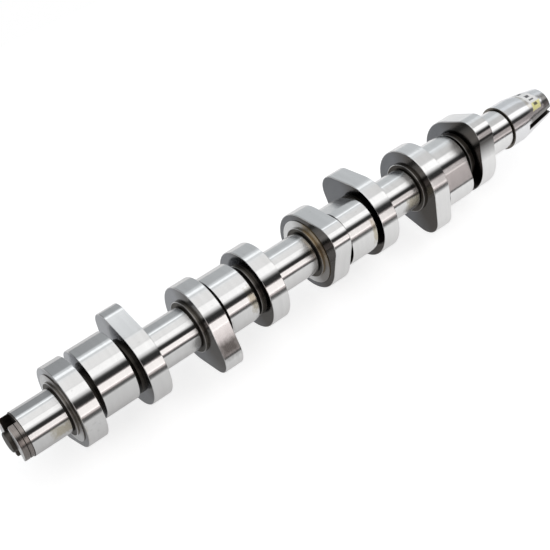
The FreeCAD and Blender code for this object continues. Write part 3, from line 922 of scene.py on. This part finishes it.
class CAMSHAFT_OT_thread(bpy.types.Operator):
    """Winds the thread of the bolt hole"""
    bl_idname = "camshaft.thread"
    bl_label = "Bolt thread"

    def execute(self, context):
        s = context.scene.camshaft_sizes
        material = bpy.data.materials["hollow_steel"]
        values = {"Outer radius": s.thread_r, "Inner radius": s.bore_r, "Pitch": s.thread_pitch,
                  "Depth": s.bore_depth - 5 * MM, "Front station": s.nose_x - 2.2 * MM}
        thread = run_tree("bolt_thread", bpy.data.meshes.new("start"), thread_tree(material), values)
        if len(thread.data.polygons) == 0:
            raise RuntimeError("the thread has no faces")
        shade(thread, 50.0)
        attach(thread, "root")
        return {"FINISHED"}


class CAMSHAFT_OT_stage(bpy.types.Operator):
    """Lays the floor and sets the lamps, the sky and the camera"""
    bl_idname = "camshaft.stage"
    bl_label = "Stage"

    def execute(self, context):
        scene = context.scene
        scene.view_settings.view_transform = "Standard"
        self.floor()
        self.sky(scene)
        self.lamps()
        self.camera(scene)
        return {"FINISHED"}

    def floor(self):
        """White table under the shaft."""
        half_x, front, rear = 0.6, -0.26, 0.36
        mesh = bpy.data.meshes.new("floor")
        corners = ((-half_x, front), (half_x, front), (half_x, rear), (-half_x, rear))
        mesh.from_pydata([(x, y, FLOOR_Z) for x, y in corners], [], [(0, 1, 2, 3)])
        floor = put("floor", mesh)
        material = bpy.data.materials.new("white_table")
        material.use_nodes = True
        tree = material.node_tree
        shader = tree.nodes["Principled BSDF"]
        shader.inputs["Base Color"].default_value = (0.5, 0.5, 0.5, 1.0)
        shader.inputs["Roughness"].default_value = 0.9
        shader.inputs["Specular IOR Level"].default_value = 0.0
        shader.inputs["Emission Color"].default_value = (1.0, 1.0, 1.0, 1.0)
        path = tree.nodes.new("ShaderNodeLightPath")
        seen, glossy, through = (Maths(tree, path.outputs[f"Is {ray} Ray"]) for ray in
                                 ("Camera", "Glossy", "Transmission"))
        # the metal sees the table lighter towards the nose
        along = split(tree, tree.nodes.new("ShaderNodeTexCoord").outputs["Object"])[0]
        glow = seen * 0.72 + glossy.most(through) * (along * 0.8 + 0.38)
        tree.links.new(glow.socket, shader.inputs["Emission Strength"])
        mesh.materials.append(material)

    def sky(self, scene):
        """White to the camera; to everything else a studio tent, with dark gaps between its panels."""
        world = bpy.data.worlds.new("studio")
        world.use_nodes = True
        scene.world = world
        tree = world.node_tree
        back = tree.nodes["Background"]
        x, _, angle = around_axis(tree, tree.nodes.new("ShaderNodeTexCoord").outputs["Generated"])
        round_x = angle * DEGREES
        # the wall behind the shaft grows lighter towards the nose
        level = ((x - 0.1) / 0.4).clamp() * 0.47 + 0.22
        # each panel: first and last degree, softness of both edges, and brightness as the
        # rear and as the front of the shaft see it
        nosewards = ((x - 0.48) / 0.14).clamp()
        for low, high, soft, last_soft, value, far_value in (
                (42.0, 62.5, 4.0, 4.0, 0.8, 0.9), (62.5, 97.0, 5.0, 5.0, 0.98, 0.56),
                (97.0, 128.0, 5.0, 4.0, 1.2, 1.35), (125.5, 148.0, 17.0, 4.0, 0.03, 0.03),
                (148.0, 168.0, 4.0, 3.0, 0.38, 0.38), (168.0, 176.5, 3.0, 4.0, 0.72, 0.8),
                (176.0, 181.0, 4.0, 3.0, 0.1, 0.1), (-181.0, -172.0, 3.0, 5.0, 0.1, 0.1),
                (-172.0, -90.0, 6.0, 5.0, 0.64, 0.64)):
            panel = nosewards * (far_value - value) + value
            level = round_x.band(low, high, soft, last_soft).pick(level, panel)
        # the taper looks past the front panel into a darker corner
        corner = degrees_from(angle, 180.0)
        dim = corner.band(-33.0, 0.0, 5.0, 3.0) * 0.42 + corner.band(1.0, 33.0, 3.0, 8.0) * 0.74
        level = level * (dim * ((x - 0.7) / 0.06).clamp() * -1.0 + 1.0)
        ends = x.call("ABSOLUTE").band(0.9, 2.0, 0.1)
        level = ends.pick(level, level * 0.0 + 0.6)
        seen = Maths(tree, tree.nodes.new("ShaderNodeLightPath").outputs["Is Camera Ray"])
        tree.links.new(seen.pick(level, level * 0.0 + 1.0).socket, back.inputs["Strength"])
        # cool light from behind, a warmer one from the front, white to the camera
        warm = round_x.band(146.0, 179.0, 4.0)
        cool = round_x.band(-90.0, 64.0, 20.0)
        join = tree.nodes.new("ShaderNodeCombineColor")
        for i, (cold, warmed) in enumerate(((0.94, 1.0), (0.98, 0.905), (1.01, 0.89))):
            channel = warm * (warmed - 1.0) + cool * (cold - 1.0) + 1.0
            tree.links.new(seen.pick(channel, seen * 0.0 + 1.0).socket, join.inputs[i])
        tree.links.new(join.outputs[0], back.inputs["Color"])

    def lamps(self):
        """Long soft strips beside the shaft, each given its brightness on sight."""
        for name, direction, distance, x, long, wide, bright, colour in (
                ("strip_above", 53.5, 1.0, 0.29, 0.9, 0.14, 0.52, (0.97, 0.985, 1.0)),
                ("strip_front", 159.7, 0.8, 0.23, 0.74, 0.3, 0.85, (1.0, 0.98, 0.965))):
            light = bpy.data.lights.new(name, "AREA")
            light.color = colour
            light.shape = "RECTANGLE"
            light.size, light.size_y = long, wide
            light.energy = bright * math.pi * long * wide
            lamp = put(name, light)
            a = math.radians(direction)
            back = Vector((0.0, math.cos(a), math.sin(a)))
            right = Vector((1.0, 0.0, 0.0))
            up = back.cross(right)
            turned = Matrix((right, up, back)).transposed().to_4x4()
            lamp.matrix_world = Matrix.Translation(Vector((x, 0.0, 0.0)) + back * distance) @ turned

    def camera(self, scene):
        """Looks down on the shaft from its drive end, half to one side."""
        data = bpy.data.cameras.new("camera")
        data.sensor_width = 36.0
        data.lens = 72.545
        data.clip_start, data.clip_end = 0.01, 100.0
        camera = put("camera", data)
        camera.location = (-0.288787, -0.359261, 0.490868)
        camera.rotation_euler = (0.74515433, 0.03370107, -0.69976962)
        scene.camera = camera


OPERATORS = (CAMSHAFT_OT_shaft, CAMSHAFT_OT_thread, CAMSHAFT_OT_stage)


class CAMSHAFT_PT_panel(bpy.types.Panel):
    """Lists the steps that make the camshaft"""
    bl_idname = "CAMSHAFT_PT_panel"
    bl_label = "Camshaft"
    bl_space_type = "VIEW_3D"
    bl_region_type = "UI"
    bl_category = "Camshaft"

    def draw(self, context):
        column = self.layout.column()
        for operator in OPERATORS:
            column.operator(operator.bl_idname)
        for group in (context.scene.camshaft_sizes, context.scene.camshaft_finish):
            box = self.layout.box()
            for name in group.__annotations__:
                box.prop(group, name)


CLASSES = (CamshaftSizes, CamshaftFinish, *OPERATORS, CAMSHAFT_PT_panel)


def register():
    for cls in CLASSES:
        bpy.utils.register_class(cls)
    bpy.types.Scene.camshaft_sizes = bpy.props.PointerProperty(type=CamshaftSizes)
    bpy.types.Scene.camshaft_finish = bpy.props.PointerProperty(type=CamshaftFinish)


def unregister():
    del bpy.types.Scene.camshaft_finish
    del bpy.types.Scene.camshaft_sizes
    for cls in reversed(CLASSES):
        bpy.utils.unregister_class(cls)


def main():
    """Makes every piece in order."""
    register()
    bpy.ops.camshaft.shaft()
    bpy.ops.camshaft.thread()
    bpy.ops.camshaft.stage()


if __name__ == "__main__":
    main()
